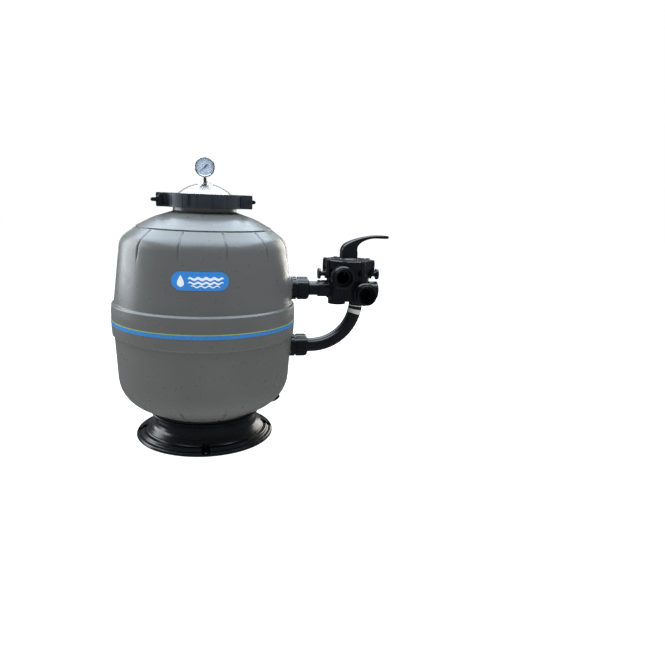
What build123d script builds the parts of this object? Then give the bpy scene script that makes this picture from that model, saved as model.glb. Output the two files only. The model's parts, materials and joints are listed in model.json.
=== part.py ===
from build123d import *
from math import atan2, cos, hypot, pi, radians, sin, sqrt, tan
import os

# Side-mount sand filter tank with a six-way valve on its right-hand side.
# Millimetres. Z is up, the floor is Z = 0 and the tank's axis is the Z axis.
# X points at the valve and -Y at the person who stands in front of the label.

# ---------------------------------------------------------------- sizes: fits
RUN = 0.08            # radial clearance of a shaft that turns in its bore
GAP = 0.3             # clearance between pieces that move past each other
SLIP = 0.1            # radial clearance of a pipe in its socket
SEAT = 3.0            # height of the flat round the drain, over the shell's curve

# ---------------------------------------------------------------- sizes: tank
WALL = 8.0            # moulded wall
BELLY_R = 308.0       # wall radius at the middle of the belt
BELLY_Z = 430.0
FOOT_R = 175.0        # where the dish leaves the pedestal
FOOT_Z = 95.0
FOOT_ROUND = 35.0
DISH_Z = 67.0         # lowest point of the dish
LOW_R = 291.8         # lower corner of the wall, before it is rounded
LOW_Z = 156.4
LOW_ROUND = 116.0
TOP_R = 279.0         # upper corner of the wall
TOP_Z = 696.0
SHOULDER_R = 227.0    # the line moulded round the shoulder
SHOULDER_Z = 736.0
CROWN_R = 170.0
CROWN_Z = 768.0
NECK_R = 106.0
NECK_Z = 789.0
BELT_R = 315.0        # crown of the raised belt
BELT_EDGE = 4.0       # how much the belt's edges are lower than its crown
BELT_BOTTOM = 374.0
BELT_TOP = 480.0
STRIPE_BOTTOM = 414.0
STRIPE_TOP = 427.0
PIN_STRIPE = 2.5      # height of the thin line above the stripe
STRIPE_THICK = 0.8
LABEL_WIDTH = 172.0
LABEL_HEIGHT = 57.0
LABEL_X = -15.0
LABEL_Z = 591.0
LABEL_THICK = 0.8

# ------------------------------------------------- sizes: mouth, lid and clamp
FLANGE_R = 118.0      # rims of the tank and of the lid, gripped by the clamp
FLANGE_Z = 812.0      # underside of the tank's rim
FLANGE_THICK = 12.0
RIM_GAP = 1.5         # the O-ring holds the two rims this far apart
SEAL_R = 108.0
SEAL_SECTION = 6.0
DOME_R = 133.0        # radius of the clear dome
DOME_WALL = 6.0
BOSS_R = 27.0         # flat on the dome for the gauge and the bleed screw
BOSS_TOP = 884.0
BLEED_X = 19.0
CLAMP_R = 126.5
CLAMP_BOTTOM = 802.0
CLAMP_TOP = 848.0
CLAMP_PADS = 16
CLAMP_SPLIT = 7.0     # gap between the two halves
LUG_END = 158.5
LUG_DEEP = 24.0       # one lug, measured along the bolt
BOLT_X = 149.0
BOLT_R = 4.0
HEAD_R = 7.5          # across the corners of the hexagon
HEAD_THICK = 6.0
KNOB_R = 25.0
KNOB_THICK = 20.0
WASHER_THICK = 1.5

# --------------------------------------------------------------- sizes: gauge
GAUGE_Z = 936.0
GAUGE_R = 33.0
GAUGE_DEEP = 26.0
STEM_R = 6.0
DIAL_THICK = 1.0
LENS_THICK = 2.0
NEEDLE_START = 225.0  # direction of the needle's tip at no pressure, from +X

# ------------------------------------------------------------ sizes: pedestal
BASE_R = 241.5
BASE_WALL = 9.0
BASE_NECK_R = 179.0   # waist of the pedestal
BASE_TOP = 99.0       # before the dish is cut out of it
ANCHOR_PCD = 440.0
ANCHOR_HOLE_R = 7.0
ANCHOR_COUNT = 4
ANCHOR_FLOOR = 6.0
NOTCH_WIDTH = 28.0
NOTCH_IN = 7.0        # how far the notch's round end lies inside the bolt

# ------------------------------------------------------------ sizes: plumbing
PIPE_R = 25.0         # 50 mm pressure pipe
PIPE_BORE = 21.0
UPPER_Z = 529.0
LOWER_Z = 318.0
PORT_FACE = 302.5     # flat moulded pad round each port, measured from the axis
PORT_INNER = 283.0
BULKHEAD_R = 30.0
FLANGE_OUT_R = 41.0
GASKET_THICK = 1.5
FLANGE_DEEP = 14.0
NOSE_R = 35.0         # threaded nose that the union nut screws on
NOSE_LENGTH = 26.0
NUT_R = 41.0
NUT_LENGTH = 40.0
NUT_START = 324.0
COLLAR_THICK = 6.0
BEND_R = 164.0
STICKER = (74.5, 80.0)   # angles along the bend
GLUE_LINE = (84.2, 85.2)
VALVE_X = 511.0
DRAIN_TURN = 5.0      # place of the drain on the shell's lower curve, in degrees
DRAIN_R = 13.0
DRAIN_CAP_R = 20.0

# --------------------------------------------------------------- sizes: valve
BODY_R = 78.0
BODY_BOTTOM = 497.0
BODY_TOP = 607.0
CHAMBER_R = 66.0
PLATE_TOP = 552.0
LID_TOP = 636.0
LID_FLAT = 88.0       # from the axis to a side of the octagon
SCREW_RING_R = 87.0
SCREW_COUNT = 8
SCREW_R = 4.0
SOCKET_WALL = 5.0
SOCKET_DEEP = 30.0
PORT_D_START = 400.0
PORT_C_END = 621.0
PORT_C_Z = 524.0
PORT_A = (468.0, 582.0)
PORT_B = (552.0, 522.0)
PORT_FRONT = -132.0
PORT_A_NUT = -92.0    # back of each front port's nut
PORT_B_NUT = -80.0
PORT_PIPE_R = 30.15   # 60.3 mm (two-inch) pressure pipe
PORT_WALL = 4.0
PORT_NOSE_R = 37.0
PORT_E_X = 472.0
PORT_E_BOTTOM = 476.0
PORT_NUT_R = 42.0
PORT_NUT_LENGTH = 24.0
PORT_NOSE = 14.0      # how far the threaded nose reaches into its nut
PLUG_Z = 583.0
PLUG_END = 112.0      # from the valve's axis to the end of a side plug
STEM_SHAFT_R = 12.0
ROTOR_R = 62.0
ROTOR_THICK = 18.0
GASKET_RUBBER = 3.0
WASHER_R = 31.0
TURN_WASHER = 4.4

# -------------------------------------------------------------- sizes: handle
HUB_BOTTOM = 641.0
CAM_R = 16.0
CAM_OFFSET = 14.0
CAM_ANGLE = 10.0
SLOT_HALF = 22.0      # room for the stem as the handle is pressed
ARM_WIDTH = 27.0
HUB_WIDTH = 50.0
PIN_R = 4.0

# ------------------------------------------------------ sizes: inner pipework
ELBOW_R = 60.0
DIFFUSER_Z = 639.0    # top of the inlet pipe
HUB_Z = 140.0
HUB_R = 62.0
LATERAL_COUNT = 10
LATERAL_R = 11.0
LATERAL_END = 196.0
RELIEF_X = -44.0
RELIEF_TOP = 762.0

# ------------------------------------------------------------- worked-out sizes
PAIR_Z = FLANGE_Z + FLANGE_THICK                # top of the tank's rim
LID_Z = PAIR_Z + RIM_GAP                        # underside of the lid's rim
LID_RIM_TOP = LID_Z + FLANGE_THICK
DOME_Z = BOSS_TOP - 1.5 - DOME_R                # centre of the dome's sphere
BOLT_Z = (CLAMP_BOTTOM + CLAMP_TOP) / 2
HEAD_Y = CLAMP_SPLIT / 2 + LUG_DEEP             # outer face of a lug
NOSE_END = PORT_FACE + GASKET_THICK + FLANGE_DEEP + NOSE_LENGTH
BEND_X = VALVE_X + 33.0                         # the bent pipe rises here
BEND_START = BEND_X - BEND_R
BEND_Z = LOWER_Z + BEND_R
PORT_F_BOTTOM = BEND_Z
ROTOR_BOTTOM = PLATE_TOP + GASKET_RUBBER + GAP
ROTOR_TOP = ROTOR_BOTTOM + ROTOR_THICK
PIN_Z = HUB_BOTTOM + CAM_R + CAM_OFFSET * sin(radians(CAM_ANGLE))
PORTS = ((*PORT_A, PORT_A_NUT), (*PORT_B, PORT_B_NUT))
os.makedirs("parts", exist_ok=True)


# -------------------------------------------------------------------- helpers
def save(shapes, name):
    """Write one node: a single solid, or a group of separate solids."""
    if isinstance(shapes, list):
        shapes = Compound(children=shapes)
    export_step(shapes, f"parts/{name}.step")


def rod(radius, low, high, x=0.0, y=0.0):
    """Upright cylinder between two heights."""
    return Pos(x, y, (low + high) / 2) * Cylinder(radius, high - low)


def rod_x(radius, start, end, y=0.0, z=0.0):
    """Cylinder along X between two places."""
    return Pos((start + end) / 2, y, z) * Rot(0, 90, 0) * Cylinder(radius, end - start)


def rod_y(radius, start, end, x=0.0, z=0.0):
    """Cylinder along Y between two places."""
    return Pos(x, (start + end) / 2, z) * Rot(90, 0, 0) * Cylinder(radius, end - start)


def block(x0, x1, y0, y1, z0, z1):
    """Box between two corners."""
    return Pos((x0 + x1) / 2, (y0 + y1) / 2, (z0 + z1) / 2) * Box(x1 - x0, y1 - y0, z1 - z0)


def turned(points):
    """Solid turned about Z from an outline of (radius, height) points."""
    outline = Plane.XZ * make_face(Polyline(*points, close=True))
    return revolve(outline, Axis.Z)


def ring(inner, outer, low, high, x=0.0, y=0.0):
    """Upright ring."""
    return rod(outer, low, high, x, y) - rod(inner, low - 1, high + 1, x, y)


def ring_x(inner, outer, start, end, y=0.0, z=0.0):
    """Ring whose axis is along X."""
    return rod_x(outer, start, end, y, z) - rod_x(inner, start - 1, end + 1, y, z)


def ring_y(inner, outer, start, end, x=0.0, z=0.0):
    """Ring whose axis is along Y."""
    return rod_y(outer, start, end, x, z) - rod_y(inner, start - 1, end + 1, x, z)


def ribbed_nut(outer, bore, lip_bore, length, lip, ribs=18):
    """Union nut along Z from 0: open at 0, with a lip that grips the tail's collar."""
    body = rod(outer - 1.5, 0, length) - rod(bore, -1, length - lip) - rod(lip_bore, -1, length + 1)
    body = chamfer(body.edges().filter_by(GeomType.CIRCLE).group_by(Axis.Z)[-1].sort_by(SortBy.LENGTH)[-1], 4)
    rib = Pos(outer - 2.5, 0, (length - 5) / 2) * Box(5, 5, length - 9)
    grips = [Rot(0, 0, i * 360 / ribs) * rib for i in range(ribs)]
    return body + grips


# ----------------------------------------------------------------- tank shell
def wall_points(inset=0.0):
    """Corners of the shell's outline, moved inwards by the inset."""
    corners = [(0, DISH_Z), (FOOT_R, FOOT_Z), (LOW_R, LOW_Z), (BELLY_R, BELLY_Z), (TOP_R, TOP_Z),
               (SHOULDER_R, SHOULDER_Z), (CROWN_R, CROWN_Z), (NECK_R, NECK_Z), (NECK_R, FLANGE_Z)]
    lines = []
    for (r0, z0), (r1, z1) in zip(corners[:-1], corners[1:]):
        size = hypot(r1 - r0, z1 - z0)
        normal = ((z0 - z1) / size, (r1 - r0) / size)
        lines.append((normal, normal[0] * r0 + normal[1] * z0 + inset))
    moved = [(0, lines[0][1] / lines[0][0][1])]
    for (a, c), (b, d) in zip(lines[:-1], lines[1:]):
        det = a[0] * b[1] - a[1] * b[0]
        moved.append(((c * b[1] - a[1] * d) / det, (a[0] * d - c * b[0]) / det))
    moved.append((NECK_R - inset, FLANGE_Z))
    return moved


def wall_solid(inset=0.0):
    """The whole shell as a filled solid, smaller by the inset."""
    corners = wall_points(inset)
    radii = [FOOT_ROUND, LOW_ROUND - inset, 900, 56 - inset, 0, 150, 6 + inset]
    side = FilletPolyline(*corners, radius=radii)
    closing = Polyline((NECK_R - inset, FLANGE_Z), (0, FLANGE_Z), corners[0])
    return revolve(Plane.XZ * make_face([*side.edges(), *closing.edges()]), Axis.Z)


def belt_solid(extra=0.0):
    """The raised belt, from the tank's axis out."""
    edge_r = BELT_R - BELT_EDGE
    half = (BELT_TOP - BELT_BOTTOM) / 2
    middle = BELT_BOTTOM + half
    arc = ThreePointArc((edge_r + extra, BELT_BOTTOM + 3), (BELT_R + extra, middle), (edge_r + extra, BELT_TOP - 2))
    rest = Polyline((edge_r + extra, BELT_TOP - 2), (edge_r - 6, BELT_TOP + 3), (0, BELT_TOP + 3),
                    (0, BELT_BOTTOM - 2), (edge_r - 8, BELT_BOTTOM - 2), (edge_r + extra, BELT_BOTTOM + 3))
    return revolve(Plane.XZ * make_face([*arc.edges(), *rest.edges()]), Axis.Z)


def drain_place():
    """Place on the shell's lower curve, and the direction that points out of it, of the drain."""
    cone = atan2(LOW_Z - FOOT_Z, LOW_R - FOOT_R)
    wall = atan2(BELLY_Z - LOW_Z, BELLY_R - LOW_R)
    back = LOW_ROUND * tan((wall - cone) / 2)
    start_r = LOW_R - back * cos(cone)
    start_z = LOW_Z - back * sin(cone)
    slope = cone + radians(DRAIN_TURN)
    r = start_r + LOW_ROUND * (sin(slope) - sin(cone))
    z = start_z + LOW_ROUND * (cos(cone) - cos(slope))
    return Vector(r, 0, z), Vector(sin(slope), 0, -cos(slope))


def on_drain(shape):
    """Lay a shape that was made along +Z on the drain's axis."""
    place, out = drain_place()
    return Plane(origin=place, x_dir=(0, 1, 0), z_dir=out) * shape


def tank_shell():
    """Moulded shell with its belt, port pads, mouth rim and drain seat."""
    pads = [rod_x(FLANGE_OUT_R + 1, PORT_INNER - 4, PORT_FACE, 0, z) for z in (UPPER_Z, LOWER_Z)]
    drain_pad = on_drain(Pos(0, 0, -WALL / 2) * Cylinder(DRAIN_CAP_R + 4, WALL + 2 * SEAT))
    outer = wall_solid() + belt_solid() + ring(NECK_R - WALL, FLANGE_R, FLANGE_Z - 0.01, PAIR_Z)
    spot_faces = [rod_x(FLANGE_OUT_R + 1, PORT_FACE, BELT_R, 0, z) for z in (UPPER_Z, LOWER_Z)]
    outer = outer + pads + drain_pad - spot_faces
    hollow = wall_solid(WALL) - [rod_x(FLANGE_OUT_R + 4, PORT_INNER, PORT_FACE + 5, 0, z) for z in (UPPER_Z, LOWER_Z)]
    shell = outer - hollow - rod(NECK_R - WALL, NECK_Z - 10, PAIR_Z + 1)
    groove = ring(SEAL_R - SEAL_SECTION / 2 - 0.2, SEAL_R + SEAL_SECTION / 2 + 0.2,
                  PAIR_Z - (SEAL_SECTION - RIM_GAP), PAIR_Z + 1)
    line = turned([(SHOULDER_R - 4, SHOULDER_Z - 1), (SHOULDER_R + 8, SHOULDER_Z - 5), (SHOULDER_R + 8, SHOULDER_Z - 1)])
    holes = [rod_x(BULKHEAD_R + SLIP, PORT_INNER - 20, PORT_FACE + 10, 0, z) for z in (UPPER_Z, LOWER_Z)]
    drain_hole = on_drain(Cylinder(DRAIN_R + SLIP, 60))
    return shell - groove - line - holes - drain_hole


def stripe(low, high):
    """Band of film on the belt between two heights."""
    return (belt_solid(STRIPE_THICK) - belt_solid()) & ring(BELLY_R - 20, BELT_R + 10, low, high)


def front_label():
    """Film pill on the front of the wall."""
    pill = Plane(origin=(LABEL_X, 0, LABEL_Z), x_dir=(1, 0, 0), z_dir=(0, -1, 0)) * SlotOverall(LABEL_WIDTH, LABEL_HEIGHT)
    column = extrude(pill, amount=TOP_R + 60)
    return (wall_solid(-LABEL_THICK) - wall_solid()) & column


# ------------------------------------------------------------------- pedestal
def base_pedestal():
    """Hollow stepped pedestal with a notch and a bolt hole for each anchor."""
    neck = BASE_NECK_R
    outer = [(BASE_R - 1.5, 0), (BASE_R, 2), (BASE_R, 5), (BASE_R - 2, 9), (BASE_R - 5, 11), (BASE_R - 14, 13),
             (BASE_R - 17, 15), (BASE_R - 19, 19), (BASE_R - 22, 21), (BASE_R - 33, 23), (BASE_R - 35, 25),
             (BASE_R - 36, 28), (BASE_R - 42, 32), (neck + 11, 39), (neck + 5, 46), (neck + 1, 55), (neck, 64),
             (neck + 2, 74), (neck + 6, 81), (neck + 11, 85), (neck + 12, 88), (neck + 10, 90), (neck + 2, 91),
             (neck, BASE_TOP)]
    inner = [(neck - BASE_WALL - 4, BASE_TOP), (neck - BASE_WALL - 2, 64), (neck - 6, 42), (BASE_R - 49, 22),
             (BASE_R - 49, 0)]
    skirt = turned(outer + inner)
    pcd_r = ANCHOR_PCD / 2
    for i in range(ANCHOR_COUNT):
        turn = Rot(0, 0, 90 * i)
        notch = rod(NOTCH_WIDTH / 2, ANCHOR_FLOOR, BASE_TOP, pcd_r - NOTCH_IN) + block(
            pcd_r - NOTCH_IN, BASE_R + 5, -NOTCH_WIDTH / 2, NOTCH_WIDTH / 2, ANCHOR_FLOOR, BASE_TOP)
        boss = block(BASE_R - 49, BASE_R - 1, -NOTCH_WIDTH / 2 - 2, NOTCH_WIDTH / 2 + 2, 0, ANCHOR_FLOOR)
        skirt = skirt + turn * (boss & rod(BASE_R - 1, 0, BASE_TOP)) - turn * notch
        skirt = skirt - turn * rod(ANCHOR_HOLE_R, -1, ANCHOR_FLOOR + 1, pcd_r)
    return skirt - wall_solid()


# ------------------------------------------------------------------------ lid
def lid_dome():
    """Clear domed lid with a flat boss."""
    sphere = Pos(0, 0, DOME_Z) * Sphere(DOME_R)
    hollow = Pos(0, 0, DOME_Z) * Sphere(DOME_R - DOME_WALL)
    dome = sphere & rod(FLANGE_R, LID_Z, BOSS_TOP + 10)
    rim_bore = sqrt((DOME_R - DOME_WALL) ** 2 - (LID_RIM_TOP - DOME_Z) ** 2)
    lid = dome + rod(FLANGE_R, LID_Z, LID_RIM_TOP) + rod(BOSS_R, BOSS_TOP - 12, BOSS_TOP)
    lid = lid - (hollow & rod(FLANGE_R, LID_RIM_TOP - 0.01, BOSS_TOP)) - rod(rim_bore, LID_Z - 1, LID_RIM_TOP)
    lid = lid + rod(BOSS_R, BOSS_TOP - 14, BOSS_TOP)
    return lid - rod(STEM_R, BOSS_TOP - 20, BOSS_TOP + 1) - rod(3 + RUN, BOSS_TOP - 20, BOSS_TOP + 1, BLEED_X)


def lid_o_ring():
    """Square-section ring that seals the lid on the tank."""
    half = SEAL_SECTION / 2
    return ring(SEAL_R - half, SEAL_R + half, PAIR_Z - (SEAL_SECTION - RIM_GAP), LID_Z)


def bleed_seal():
    """Washer under the bleed screw's head."""
    return ring(3 + RUN, 5.5, BOSS_TOP, BOSS_TOP + 1.5, BLEED_X)


def bleed_screw():
    """Thumb screw that lets air out of the tank."""
    low = BOSS_TOP + 1.5
    head = rod(6, low, low + 5, BLEED_X)
    notches = [rod(1.2, low - 1, low + 6, BLEED_X + 6 * cos(i * pi / 4), 6 * sin(i * pi / 4)) for i in range(8)]
    return head - notches + rod(3, BOSS_TOP - 8, low, BLEED_X)


# ---------------------------------------------------------------------- gauge
def gauge_stem():
    """Brass stem with a hexagon, from the lid's boss into the case."""
    hexagon = extrude(Pos(0, 0, BOSS_TOP) * RegularPolygon(9, 6), 7)
    return hexagon + rod(STEM_R, BOSS_TOP - 12, GAUGE_Z - GAUGE_R + 5)


def gauge_case():
    """Round steel case, open at the front."""
    cup = rod_y(GAUGE_R - 1, -GAUGE_DEEP / 2, GAUGE_DEEP / 2, 0, GAUGE_Z)
    cup = cup - rod_y(GAUGE_R - 3, -GAUGE_DEEP / 2 - 1, GAUGE_DEEP / 2 - 2, 0, GAUGE_Z)
    return cup - rod(STEM_R, GAUGE_Z - GAUGE_R - 5, GAUGE_Z - GAUGE_R + 6)


def gauge_bezel():
    """Rolled steel ring that holds the lens."""
    front = -GAUGE_DEEP / 2
    bezel = ring_y(GAUGE_R - 4, GAUGE_R + 0.5, front - 5, front, 0, GAUGE_Z)
    bezel = fillet(bezel.edges().group_by(Axis.Y)[0].sort_by(SortBy.LENGTH)[-1], 2)
    return bezel - rod_y(GAUGE_R - 3, front - 3, front + 1, 0, GAUGE_Z)


def gauge_dial():
    """Dial plate behind the needle."""
    front = -GAUGE_DEEP / 2
    return ring_y(2 + RUN, GAUGE_R - 3, front + 4, front + 4 + DIAL_THICK, 0, GAUGE_Z)


def gauge_lens():
    """Clear window in the bezel."""
    front = -GAUGE_DEEP / 2
    return rod_y(GAUGE_R - 3, front - 3, front - 3 + LENS_THICK, 0, GAUGE_Z)


def gauge_needle():
    """Needle with its counterweight, hub and spindle."""
    front = -GAUGE_DEEP / 2
    tip = GAUGE_R - 7
    flat = Polyline((-12, -1.6), (-12, 1.6), (0, 1.0), (tip, 0.25), (tip, -0.25), (0, -1.0), close=True)
    blade = extrude(make_face(flat), 0.6)
    blade = Pos(0, front + 1.4, GAUGE_Z) * Rot(90, 0, 0) * Rot(0, 0, NEEDLE_START) * blade
    return blade + rod_y(2.6, front + 0.4, front + 2, 0, GAUGE_Z) + rod_y(2, front + 1, front + 10, 0, GAUGE_Z)


# ---------------------------------------------------------------------- clamp
def clamp_ring():
    """Whole clamp ring with its pads and lugs, before it is split."""
    body = rod(CLAMP_R, CLAMP_BOTTOM, CLAMP_TOP)
    for i in range(CLAMP_PADS):
        turn = Rot(0, 0, (i + 0.5) * 360 / CLAMP_PADS)
        body = body - turn * block(CLAMP_R - 1.6, CLAMP_R + 1, -0.9, 0.9, CLAMP_BOTTOM - 1, CLAMP_TOP + 1)
    for i in (2, 6, 10, 14):
        turn = Rot(0, 0, i * 360 / CLAMP_PADS + 22.5)
        body = body - turn * block(CLAMP_R - 4, CLAMP_R + 1, -6, 6, CLAMP_BOTTOM + 5, CLAMP_TOP - 5)
    for side in (-1, 1):
        ends = sorted((side * (CLAMP_R - 12), side * LUG_END))
        lug = block(ends[0], ends[1], -HEAD_Y, HEAD_Y, CLAMP_BOTTOM, CLAMP_TOP)
        upright = lug.edges().filter_by(Axis.Y).sort_by(lambda e: side * e.center().X)[-2:]
        body = body + fillet(upright, 4)
    body = body - rod(FLANGE_R + GAP, FLANGE_Z - GAP, LID_RIM_TOP + GAP)
    body = body - rod(NECK_R + GAP, CLAMP_BOTTOM - 1, FLANGE_Z)
    return body - (Pos(0, 0, DOME_Z) * Sphere(DOME_R + GAP)) - rod(DOME_R - 36, LID_RIM_TOP, CLAMP_TOP + 1)


def clamp_half(ring_body, front):
    """One half; each has a nut-side lug and a lug with a pocket that holds a bolt's head."""
    sign = -1 if front else 1
    limits = sorted((sign * CLAMP_SPLIT / 2, sign * 200))
    half = ring_body & block(-200, 200, limits[0], limits[1], CLAMP_BOTTOM - 5, CLAMP_TOP + 5)
    for side in (-1, 1):
        half = half - rod_y(BOLT_R + GAP, limits[0] - 5, limits[1] + 5, side * BOLT_X, BOLT_Z)
    pocket_x = BOLT_X if front else -BOLT_X
    face = sign * HEAD_Y
    span = sorted((face, face - sign * HEAD_THICK))
    pocket = Pos(pocket_x, span[0], BOLT_Z) * Rot(-90, 0, 0) * extrude(RegularPolygon(HEAD_R + 0.4, 6), HEAD_THICK + 5)
    if front:
        pocket = Pos(0, -5, 0) * pocket
    return half - pocket


def clamp_bolt(left):
    """Hexagon bolt; the left one's head is in the back half and it points forwards."""
    sign = 1 if left else -1
    x = -BOLT_X if left else BOLT_X
    head_in = sign * (HEAD_Y - HEAD_THICK)
    tail = -sign * (HEAD_Y + WASHER_THICK + KNOB_THICK - 4)
    low, high = sorted((head_in, tail))
    start = min(head_in, sign * HEAD_Y)
    head = Pos(x, start, BOLT_Z) * Rot(-90, 0, 0) * extrude(RegularPolygon(HEAD_R, 6), HEAD_THICK)
    return head + rod_y(BOLT_R, low, high, x, BOLT_Z)


def clamp_washer(left):
    """Flat washer between a lug and its knob."""
    sign = -1 if left else 1
    x = -BOLT_X if left else BOLT_X
    low, high = sorted((sign * HEAD_Y, sign * (HEAD_Y + WASHER_THICK)))
    return ring_y(BOLT_R + GAP, 10, low, high, x, BOLT_Z)


def clamp_knob(left):
    """Three-lobed hand knob with a blind threaded bore."""
    sign = -1 if left else 1
    x = -BOLT_X if left else BOLT_X
    low, high = sorted((sign * (HEAD_Y + WASHER_THICK), sign * (HEAD_Y + WASHER_THICK + KNOB_THICK)))
    outline = Circle(11.5)
    lobe = 6.0
    for i in range(3):
        a = radians(120 * i)
        mid = (KNOB_R - lobe) * 0.62
        outline = outline + Pos((KNOB_R - lobe) * cos(a), (KNOB_R - lobe) * sin(a)) * Circle(lobe)
        outline = outline + Rot(0, 0, 120 * i) * Pos(mid * 0.9, 0) * Rectangle(KNOB_R - lobe, 13)
    turn = 180 if left else 0
    body = Pos(x, low, BOLT_Z) * Rot(-90, 0, 0) * Rot(0, 0, turn) * extrude(outline, high - low)
    face = body.edges().group_by(Axis.Y)[0 if left else -1]
    body = chamfer(face, 1.5)
    depth = KNOB_THICK - 3
    bore = sorted((sign * (HEAD_Y + WASHER_THICK), sign * (HEAD_Y + WASHER_THICK + depth)))
    return body - rod_y(BOLT_R + RUN, bore[0], bore[1], x, BOLT_Z)


# ------------------------------------------------------------ bulkhead unions
def bulkhead(z):
    """Tank fitting: body through the wall, flange outside, threaded nose for the nut."""
    face = PORT_FACE + GASKET_THICK
    fitting = rod_x(FLANGE_OUT_R, face, face + FLANGE_DEEP, 0, z) + rod_x(BULKHEAD_R, PORT_INNER - 24, face, 0, z)
    fitting = fitting + rod_x(NOSE_R, face + FLANGE_DEEP, NOSE_END, 0, z)
    for i in range(20):
        fitting = fitting - Pos(0, 0, z) * Rot(i * 18, 0, 0) * block(
            face + 3, face + FLANGE_DEEP + 1, -2.2, 2.2, FLANGE_OUT_R - 2, FLANGE_OUT_R + 3)
    groove = ring_x(PIPE_R + 1.8, PIPE_R + 5.2, NOSE_END - 2.4, NOSE_END + 1, 0, z)
    return fitting - rod_x(PIPE_BORE, PORT_INNER - 30, NOSE_END + 1, 0, z) - groove - rod_x(
        PIPE_R + SLIP, PORT_INNER - 30, PORT_INNER, 0, z)


def bulkhead_gasket(z):
    """Flat rubber ring between the fitting's flange and the pad on the shell."""
    return ring_x(BULKHEAD_R + SLIP, FLANGE_OUT_R - 1, PORT_FACE, PORT_FACE + GASKET_THICK, 0, z)


def bulkhead_lock_nut(z):
    """Nut inside the tank."""
    hexagon = Pos(PORT_INNER - 12, 0, z) * Rot(0, 90, 0) * extrude(RegularPolygon(FLANGE_OUT_R, 8), 12)
    return hexagon - rod_x(BULKHEAD_R + SLIP, PORT_INNER - 20, PORT_INNER + 5, 0, z)


def union_nut(z):
    """Hand nut that pulls the union together; free to turn on the nose and the tail."""
    lip = NUT_START + NUT_LENGTH - (NOSE_END + COLLAR_THICK + GAP)
    nut = ribbed_nut(NUT_R, NOSE_R + RUN, PIPE_R + SOCKET_WALL + GAP, NUT_LENGTH, lip)
    return Pos(NUT_START, 0, z) * Rot(0, 90, 0) * nut


def union_tail(z):
    """Tail with a collar inside the nut and a socket for the pipe."""
    end = NUT_START + NUT_LENGTH + 2
    tail = rod_x(NOSE_R - 1, NOSE_END, NOSE_END + COLLAR_THICK, 0, z) + rod_x(PIPE_R + SOCKET_WALL, NOSE_END, end, 0, z)
    return tail - rod_x(PIPE_BORE, NOSE_END - 1, end + 1, 0, z) - rod_x(PIPE_R, NOSE_END + 3, end + 1, 0, z)


def union_o_ring(z):
    """O-ring in the face of the nose."""
    return ring_x(PIPE_R + 2, PIPE_R + 5, NOSE_END - 2.4, NOSE_END, 0, z)


def connecting_pipe():
    """Straight pipe from the upper union to the valve."""
    return ring_x(PIPE_BORE, PIPE_R, NOSE_END + 3, PORT_D_START + SOCKET_DEEP - 2, 0, UPPER_Z)


def bend_piece(inner, outer, start, end):
    """Part of the quarter bend; angles run from 0 at the bottom to 90 at the top."""
    centre = (BEND_START, 0, BEND_Z)
    plane = Plane(origin=(BEND_START, 0, LOWER_Z), x_dir=(0, 1, 0), z_dir=(1, 0, 0))
    section = plane * (Circle(outer) - Circle(inner))
    axis = Axis(centre, (0, -1, 0))
    return section.rotate(axis, start), axis, end - start


def bent_pipe():
    """Rigid bent pipe from the lower union up into the valve's bottom port."""
    section, axis, angle = bend_piece(PIPE_BORE, PIPE_R, 0, 90)
    pipe = revolve(section, axis, angle)
    pipe = pipe + ring_x(PIPE_BORE, PIPE_R, NOSE_END + 3, BEND_START, 0, LOWER_Z)
    return pipe + ring(PIPE_BORE, PIPE_R, BEND_Z, PORT_F_BOTTOM + SOCKET_DEEP - 2, BEND_X)


def film_band(start, end):
    """Film band round the bent pipe between two angles of its bend."""
    section, axis, angle = bend_piece(PIPE_R, PIPE_R + 0.5, start, end)
    return revolve(section, axis, angle)


# ---------------------------------------------------------------------- drain
def drain_spigot():
    """Threaded spigot through the cone near the bottom, with its lock-nut thread inside."""
    spigot = rod(DRAIN_R, -WALL - 16, SEAT + 16) + rod(DRAIN_R + 3, SEAT, SEAT + 3)
    return on_drain(spigot - rod(DRAIN_R - 4, -WALL - 17, SEAT + 17))


def drain_lock_nut():
    """Lock nut and strainer cup inside the tank."""
    nut = extrude(Pos(0, 0, -WALL - 10 - SEAT) * RegularPolygon(DRAIN_R + 6, 6), 10)
    return on_drain(nut - rod(DRAIN_R, -WALL - 20, 0))


def drain_seal():
    """Washer between the spigot's flange and the cap."""
    return on_drain(ring(DRAIN_R + RUN, DRAIN_R + 3, SEAT + 3, SEAT + 5))


def drain_cap():
    """Screw cap on the drain."""
    low = SEAT + 5
    cap = rod(DRAIN_CAP_R, low, low + 15) - rod(DRAIN_R + RUN, low - 1, SEAT + 16 + GAP)
    cap = chamfer(cap.edges().group_by(Axis.Z)[-1], 1.5)
    for i in range(12):
        a = radians(30 * i)
        cap = cap - rod(1.8, low - 1, low + 16, (DRAIN_CAP_R + 0.6) * cos(a), (DRAIN_CAP_R + 0.6) * sin(a))
    return on_drain(cap)


# ------------------------------------------------------- pipework in the tank
def elbow(z, way):
    """Quarter bend from the tank's axis to a level pipe; the way is 1 for up and -1 for down."""
    plane = Plane(origin=(ELBOW_R, 0, z), x_dir=(0, 1, 0), z_dir=(1, 0, 0))
    section = plane * (Circle(PIPE_R) - Circle(PIPE_BORE))
    return revolve(section, Axis((ELBOW_R, 0, z + way * ELBOW_R), (0, way, 0)), 90)


def inlet_pipe():
    """Inlet elbow: in from the upper port and up on the tank's axis."""
    level = ring_x(PIPE_BORE, PIPE_R, ELBOW_R, PORT_INNER - 1, 0, UPPER_Z)
    return level + elbow(UPPER_Z, 1) + ring(PIPE_BORE, PIPE_R, UPPER_Z + ELBOW_R, DIFFUSER_Z)


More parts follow.
